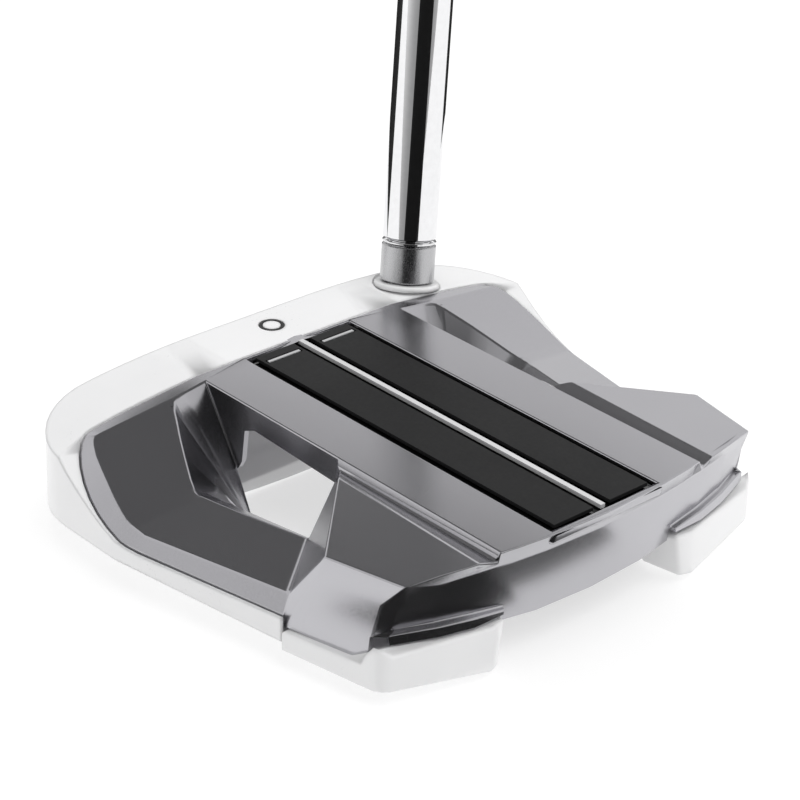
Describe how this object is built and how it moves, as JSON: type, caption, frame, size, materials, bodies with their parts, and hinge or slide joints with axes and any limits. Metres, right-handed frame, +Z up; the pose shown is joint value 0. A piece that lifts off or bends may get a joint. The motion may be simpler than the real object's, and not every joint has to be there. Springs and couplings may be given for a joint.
{
  "type": "mallet putter",
  "caption": "Putter with a wide open mallet head, white frame, grey top plate with black inlay and a white sight line, bent steel shaft and pistol grip.",
  "frame": {"origin": "on the ground plane, at the flat pad of the sole, under the centre line of the face", "axes": "+X towards the toe, -Y out of the face towards the target, +Y towards the rear of the head, +Z up with the club held at its lie"},
  "size_m": [0.3648, 0.1044, 0.8183],
  "materials": {
    "white_paint": "satin white",
    "satin_aluminium": "satin grey",
    "black_gloss": "gloss black",
    "black_anodised": "fine satin black",
    "sight_white": "matt white",
    "sight_grey": "matt light grey",
    "ring_black": "matt black",
    "insert_polymer": "fine matt",
    "backing_tape": "matt",
    "satin_steel": "satin",
    "bright_steel": "polished",
    "chrome": "mirror chrome",
    "plug_wood": "plain",
    "grip_rubber": "matt, fine texture",
    "cap_rubber": "matt",
    "sole_steel": "brushed",
    "weight_steel": "satin",
    "washer_nylon": "matt",
    "steel": "turned"
  },
  "bodies": {
    "club": {"frame": "white_paint", "top_plate": "satin_aluminium", "toe_block": "white_paint", "heel_block": "white_paint", "inlay_bed": "black_gloss", "toe_panel": "black_anodised", "heel_panel": "black_anodised", "sight_line": "sight_white", "toe_dash": "sight_grey", "heel_dash": "sight_grey", "sight_ring": "ring_black", "face_insert": "insert_polymer", "insert_pad": "backing_tape", "shaft_collar": "white_paint", "tip_sleeve": "satin_steel", "tip_ring": "bright_steel", "shaft": "chrome", "tip_plug": "plug_wood", "grip": "grip_rubber", "grip_tape": "backing_tape", "grip_cap": "cap_rubber", "sole_pad": "sole_steel", "sole_pad_tape": "backing_tape", "toe_front_screw": "steel", "heel_front_screw": "steel", "toe_block_screw": "steel", "heel_block_screw": "steel"},
    "toe_washer": {"toe_weight_washer": "washer_nylon"},
    "toe_weight": {"toe_sole_weight": "weight_steel"},
    "heel_washer": {"heel_weight_washer": "washer_nylon"},
    "heel_weight": {"heel_sole_weight": "weight_steel"}
  },
  "joints": [
    {"name": "toe_weight_slide", "type": "slide", "parent": "club", "child": "toe_washer", "axis": [0.1545, 0, -0.988], "range_m": [0, 0.004]},
    {"name": "toe_weight_turn", "type": "hinge", "parent": "toe_washer", "child": "toe_weight", "pos_m": [0.034, -0.005, 0.00316], "axis": [0.1545, 0, -0.988], "range_deg": [0, 1440]},
    {"name": "heel_weight_slide", "type": "slide", "parent": "club", "child": "heel_washer", "axis": [-0.1545, 0, -0.988], "range_m": [0, 0.004]},
    {"name": "heel_weight_turn", "type": "hinge", "parent": "heel_washer", "child": "heel_weight", "pos_m": [-0.034, -0.005, 0.00316], "axis": [-0.1545, 0, -0.988], "range_deg": [0, 1440]}
  ],
  "couplings": [
    {"joint": "toe_weight_turn", "follows": "toe_weight_slide", "rad_per_m": 6283.1},
    {"joint": "heel_weight_turn", "follows": "heel_weight_slide", "rad_per_m": 6283.1}
  ]
}
